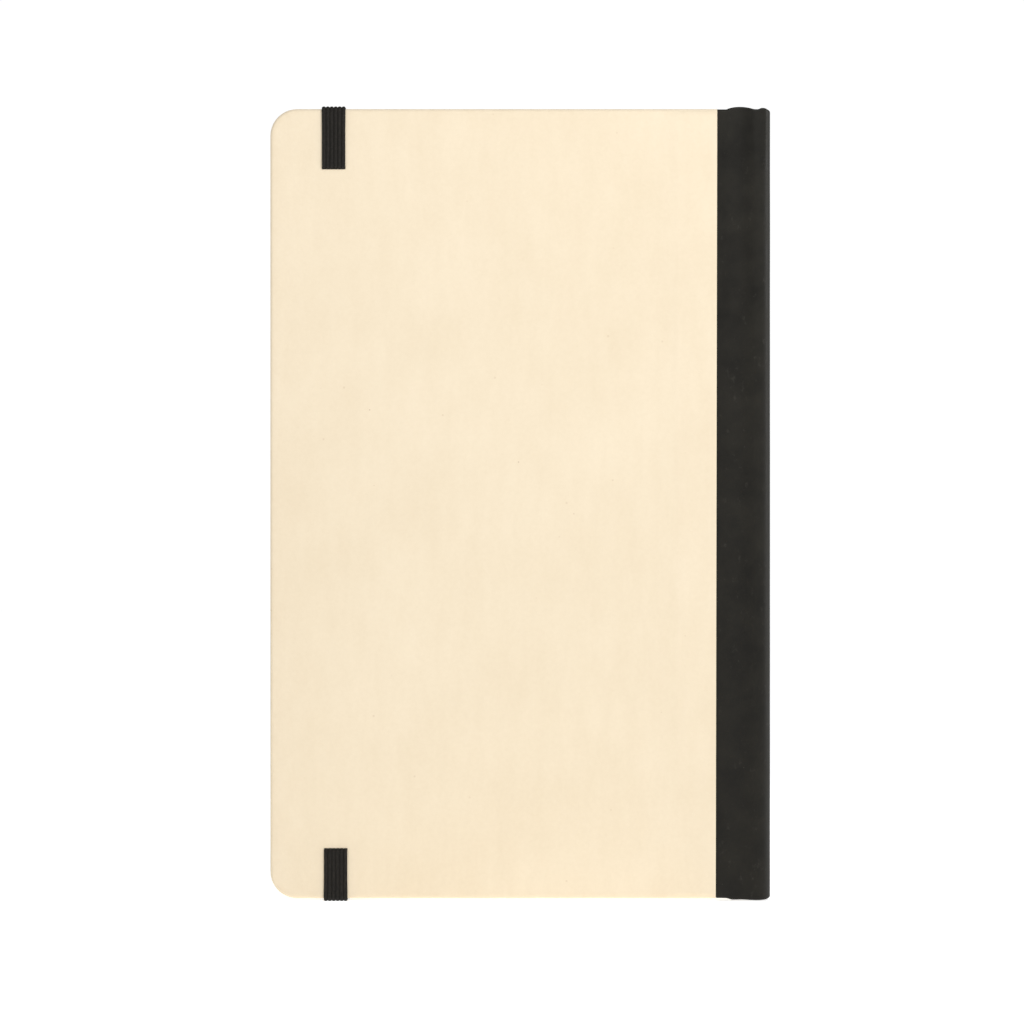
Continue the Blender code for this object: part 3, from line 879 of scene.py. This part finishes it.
def make_endpaper(word, side):
    """The pasted-down sheet inside a cover, which crosses the joint to the sewn fold."""
    hinge_x, hinge_y = hinges[f"{word}_cover_hinge"]["pos_m"][:2]
    flat = PASTEDOWN_FACE + ENDPAPER / 2
    stations = corner_stations(PAGE_EDGE)
    stations += [(x, 0.0) for x in (-20 * MM, 0.0, 20 * MM, 35 * MM)]
    columns = [
        ((x, side * flat), (0, 1), PAGE_TAIL + lost, PAGE_HEAD - lost) for x, lost in stations
    ]
    line = [(x, side * y) for x, y in endpaper_line(hinge_x, abs(hinge_y))]
    for place, normal in zip(line, line_normals(line)):
        columns.append((place, normal, PAGE_TAIL, PAGE_HEAD))
    shape = bmesh.new()
    add_strip(shape, columns, ENDPAPER)
    bmesh.ops.recalc_face_normals(shape, faces=shape.faces)
    endpaper = add_piece(
        f"{word}_endpaper", shape, (IVORY, IVORY), stands_for=[f"{word}_pastedown"]
    )
    smooth(endpaper)
    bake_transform(endpaper)


def make_pages():
    for number in range(1, SECTION_COUNT + 1):
        make_section(number)
    for word, side in (("front", 1), ("back", -1)):
        make_flyleaf(word)
        make_endpaper(word, side)


# Inside the spine


def make_end_band(end):
    """A cord bound round and round with thread, over the sewn folds at the head or the tail."""
    low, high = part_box(f"{end}_band")
    middle = (low + high) / 2
    radius = (high.z - low.z) / 2
    count = round((high.y - low.y) / END_BAND_TURN * 6)
    shape = bmesh.new()
    rings = []
    for step in range(count + 1):
        y = between(low.y, high.y, step / count)
        swell = 0.90 + 0.10 * abs(math.sin(math.pi * (y - low.y) / END_BAND_TURN))
        if step in (0, count):
            swell = 0.6
        ring = arc((middle.x, middle.z), radius * swell, 0, 360, 14)[:-1]
        rings.append([shape.verts.new((x, y, z)) for x, z in ring])
    for first, second in zip(rings, rings[1:]):
        for index in range(len(first)):
            other = (index + 1) % len(first)
            shape.faces.new((first[index], first[other], second[other], second[index]))
    shape.faces.new(rings[0])
    shape.faces.new(rings[-1])
    bmesh.ops.recalc_face_normals(shape, faces=shape.faces)
    band = add_piece(
        f"{end}_band_wound", shape, CLOTH_FINISH, "text_block", [f"{end}_band"]
    )
    smooth(band)


def finish_carried_nodes():
    """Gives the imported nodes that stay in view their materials."""
    finishes = {"spine_strip": GREYBOARD, "spine_mull": GAUZE, "spine_liner": BROWN}
    finishes["pocket_edge_strip"] = CLOTH_FINISH
    for name in nodes:
        if name.startswith("sewing_thread"):
            finishes[name] = THREAD
    for name, finish in finishes.items():
        nodes[name].data.materials.clear()
        nodes[name].data.materials.append(finish)


# The pocket


def make_pocket_panel():
    """The card of the pocket, with a thumb notch in its mouth and softened edges."""
    low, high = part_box("pocket_panel")
    middle = (low.z + high.z) / 2
    left = low.x + PAGE_CORNER
    notch = [
        point
        for point in arc((high.x + 4.0 * MM, middle), THUMB_NOTCH, 108, 252, 20)
        if point[0] < high.x
    ]
    outline = [(high.x, high.z), *notch, (high.x, low.z)]
    outline += arc((left, low.z + PAGE_CORNER), PAGE_CORNER, 270, 180, 8)
    outline += arc((left, high.z - PAGE_CORNER), PAGE_CORNER, 180, 90, 8)
    shape = bmesh.new()
    base = shape.faces.new([shape.verts.new((x, low.y, z)) for x, z in outline])
    grown = bmesh.ops.extrude_face_region(shape, geom=[base])["geom"]
    far = [item for item in grown if isinstance(item, bmesh.types.BMVert)]
    bmesh.ops.translate(shape, verts=far, vec=(0.0, high.y - low.y, 0.0))
    rims = [edge for edge in shape.edges if abs(edge.verts[0].co.y - edge.verts[1].co.y) < 1e-7]
    bmesh.ops.bevel(shape, geom=rims, offset=0.12 * MM, segments=2, profile=0.5, affect="EDGES")
    bmesh.ops.recalc_face_normals(shape, faces=shape.faces)
    panel = add_piece(
        "pocket_card", shape, IVORY, "pocket_panel", stands_for=["pocket_panel"]
    )
    smooth(panel)


def make_gusset(end):
    """Cloth folded in on itself between the back cover and the pocket's card."""
    low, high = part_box(f"pocket_gusset_{end}")
    outer, inner = (high.z, low.z) if end == "head" else (low.z, high.z)
    thickness = 0.12 * MM
    bottom = low.y + thickness / 2
    top = high.y - thickness / 2
    fold = [(bottom, outer), (bottom + 0.05 * MM, inner), (top - 0.05 * MM, inner), (top, outer)]
    steps = 16
    shape = bmesh.new()
    rings = []
    for step in range(steps + 1):
        x = between(low.x, high.x, step / steps)
        ring = []
        for shift in (-thickness / 2, thickness / 2):
            side = [shape.verts.new((x, y + shift, z)) for y, z in fold]
            ring += side if shift < 0 else side[::-1]
        rings.append(ring)
    for first, second in zip(rings, rings[1:]):
        for index in range(len(first)):
            other = (index + 1) % len(first)
            shape.faces.new((first[index], first[other], second[other], second[index]))
    for ring in (rings[0], rings[-1]):
        for index in range(3):  # points of a ring that lie across from each other add up to 7
            shape.faces.new((ring[index], ring[index + 1], ring[6 - index], ring[7 - index]))
    bmesh.ops.recalc_face_normals(shape, faces=shape.faces)
    gusset = add_piece(
        f"pocket_gusset_{end}_fold",
        shape,
        CLOTH_FINISH,
        stands_for=[f"pocket_gusset_{end}"],
    )
    smooth(gusset)
    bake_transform(gusset)


def make_pocket():
    make_pocket_panel()
    for end in ("head", "tail"):
        make_gusset(end)


# The elastic band


def rib_profile():
    """Pairs of across and out, round the band: a row of rounded ribs on each of its faces."""
    profile = []
    for face in (1, -1):
        for step in range(BAND_RIBS * RIB_STEPS):
            across = face * (step / (BAND_RIBS * RIB_STEPS) - 0.5) * BAND_WIDTH
            swell = abs(math.sin(math.pi * step / RIB_STEPS)) ** 0.6
            height = between(RIB_VALLEY, 1.0, swell)
            profile.append((across, face * BAND_THICKNESS / 2 * height))
    return profile


def band_drift(z):
    """How far the band lies to the spine side of its line, and its width there against its own."""
    drift = between(0.15, -0.20, smoothstep(z, TAIL + 10 * MM, HEAD - 10 * MM)) * MM
    half = (HEAD - TAIL) / 2
    near_edge = smoothstep(abs(z - TAIL - half), half - 4 * MM, half)
    return drift, 1 + 0.02 * near_edge


def sweep_band(name, line, body, stands_for):
    """The ribbed band along a line in Y and Z."""
    profile = rib_profile()
    shape = bmesh.new()
    rings = []
    for (y, z), (out_y, out_z) in zip(line, line_normals(line)):
        drift, spread = band_drift(z)
        ring = []
        for across, out in profile:
            place = (ELASTIC_X + drift + across * spread, y + out_y * out, z + out_z * out)
            ring.append(shape.verts.new(place))
        rings.append(ring)
    for first, second in zip(rings, rings[1:]):
        for index in range(len(profile)):
            other = (index + 1) % len(profile)
            shape.faces.new((first[index], first[other], second[other], second[index]))
    shape.faces.new(rings[0])
    shape.faces.new(rings[-1])
    bmesh.ops.recalc_face_normals(shape, faces=shape.faces)
    band = add_piece(name, shape, ELASTIC, body, stands_for)
    smooth(band, 50)
    return band


def make_elastic():
    """Two fixed ends that come out of the slits, and the loop that goes round the book."""
    head_end = HEAD - ENDS_MEET_LOOP
    tail_end = TAIL + ENDS_MEET_LOOP
    for end, slit, edge in (("head", HEAD_SLIT, head_end), ("tail", TAIL_SLIT, tail_end)):
        corners = [(-OUTER_FACE + 1.6 * MM, slit), (ELASTIC_Y, slit), (ELASTIC_Y, edge)]
        line = rounded_line(corners, 0.32 * MM, 6)
        steps = [between(line[-2][1], edge, step / 10) for step in range(1, 10)]
        line[-1:-1] = [(ELASTIC_Y, z) for z in steps]
        sweep_band(f"elastic_{end}_end", line, "back_cover", [f"elastic_end_{end}"])
    top = HEAD + BAND_THICKNESS / 2 + 0.04 * MM
    bottom = TAIL - BAND_THICKNESS / 2 - 0.04 * MM
    corners = [
        (ELASTIC_Y, head_end),
        (ELASTIC_Y, top),
        (-ELASTIC_Y, top),
        (-ELASTIC_Y, bottom),
        (ELASTIC_Y, bottom),
        (ELASTIC_Y, tail_end),
    ]
    line = rounded_line(corners, 0.7 * MM, 7)
    full = [line[0]]
    for before, after in zip(line, line[1:]):
        pieces = max(1, round(math.dist(before, after) / (5 * MM)))
        for step in range(1, pieces + 1):
            share = step / pieces
            full.append((between(before[0], after[0], share), between(before[1], after[1], share)))
    loop = sweep_band("elastic_loop_band", full, "elastic_band", ["elastic_loop"])
    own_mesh(loop)


# The studio


def add_light(name, power, size, place, aim):
    light = bpy.data.lights.new(name, "AREA")
    light.energy = power
    light.shape = "DISK"
    light.size = size
    lamp = bpy.data.objects.new(name, light)
    bpy.context.scene.collection.objects.link(lamp)
    lamp.location = place
    lamp.visible_camera = False
    lamp.rotation_euler = (Vector(aim) - Vector(place)).to_track_quat("-Z", "Y").to_euler()


def make_studio():
    bpy.ops.mesh.primitive_plane_add(size=6.0, location=(0.0, 0.0, 0.0))
    floor = bpy.context.object
    floor.name = "studio_floor"
    made, _, shader, _ = start_material("studio floor", 0.9, Specular_IOR_Level=0.1)
    shader.inputs["Base Color"].default_value = (0.90, 0.90, 0.90, 1.0)
    shader.inputs["Emission Color"].default_value = (1.0, 1.0, 1.0, 1.0)
    shader.inputs["Emission Strength"].default_value = FLOOR_GLOW
    floor.data.materials.append(made)
    world = bpy.data.worlds.new("studio")
    bpy.context.scene.world = world
    world.use_nodes = True
    tree = world.node_tree
    seen = add(tree, "ShaderNodeLightPath").outputs["Is Camera Ray"]
    sky = tree.nodes["Background"]
    sky.inputs["Color"].default_value = (1.0, 1.0, 1.0, 1.0)
    tree.links.new(ranged(tree, seen, 0.0, 1.0, SKY_LIGHT, SKY_SEEN), sky.inputs["Strength"])
    centre = (0.0, 0.0, HEAD / 2)
    add_light("key", KEY_POWER, KEY_SIZE, KEY_PLACE, centre)
    add_light("side", SIDE_POWER, SIDE_SIZE, SIDE_PLACE, centre)
    bpy.context.scene.view_settings.view_transform = "Standard"


def make_camera():
    """A long lens straight in front of the back cover, at the photograph's scale."""
    data = bpy.data.cameras.new("camera")
    data.lens = 200.0
    data.sensor_width = 36.0
    data.clip_start = 0.01
    data.clip_end = 20.0
    camera = bpy.data.objects.new("camera", data)
    bpy.context.scene.collection.objects.link(camera)
    camera.location = CAMERA_PLACE
    camera.rotation_euler = (math.radians(90), 0.0, 0.0)
    bpy.context.scene.camera = camera


make_covers()
make_spine_cloth()
make_pages()
for band_end in ("head", "tail"):
    make_end_band(band_end)
finish_carried_nodes()
make_pocket()
make_elastic()
make_studio()
make_camera()
